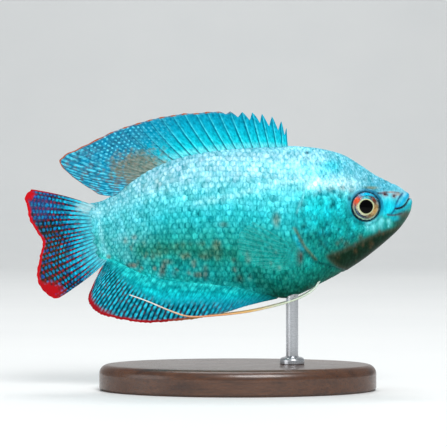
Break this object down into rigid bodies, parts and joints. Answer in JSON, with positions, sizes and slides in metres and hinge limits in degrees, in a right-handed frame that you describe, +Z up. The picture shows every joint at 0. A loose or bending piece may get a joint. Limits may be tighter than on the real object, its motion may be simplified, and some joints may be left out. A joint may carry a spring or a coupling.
{
  "type": "dwarf gourami",
  "caption": "Deep-bodied aquarium fish with a long dorsal and anal fin, a fan tail, clear pectoral fins and thread-like pelvic feelers, held on a plain display stand.",
  "frame": {"origin": "centre of the bounding box in plan, at the underside of the stand's base", "axes": "+X from the tail towards the snout, +Y to the fish's left, +Z up"},
  "size_m": [0.0758, 0.034, 0.0543],
  "materials": {
    "skin": "wet scaled skin, powder blue with turquoise scale edges",
    "eye": "glossy eye, black pupil in a cream ring",
    "fin": "thin ribbed fin, blue with a red margin",
    "clear_fin": "thin ribbed fin, clear and colourless",
    "feeler": "satin thread, white at its root and orange along its middle",
    "wood": "dark satin walnut",
    "steel": "satin"
  },
  "bodies": {
    "root": {"head": "skin", "lower_jaw": "skin", "gill_cover_left": "skin", "gill_cover_right": "skin", "trunk": "skin", "tail_stalk": "skin", "eye_left": "eye", "eye_right": "eye", "dorsal_fin": "fin", "anal_fin": "fin", "caudal_fin": "fin", "pectoral_fin_left": "clear_fin", "pectoral_fin_right": "clear_fin", "pelvic_feeler_left": "feeler", "pelvic_feeler_right": "feeler", "stand_base": "wood", "stand_rod": "steel"}
  },
  "joints": []
}
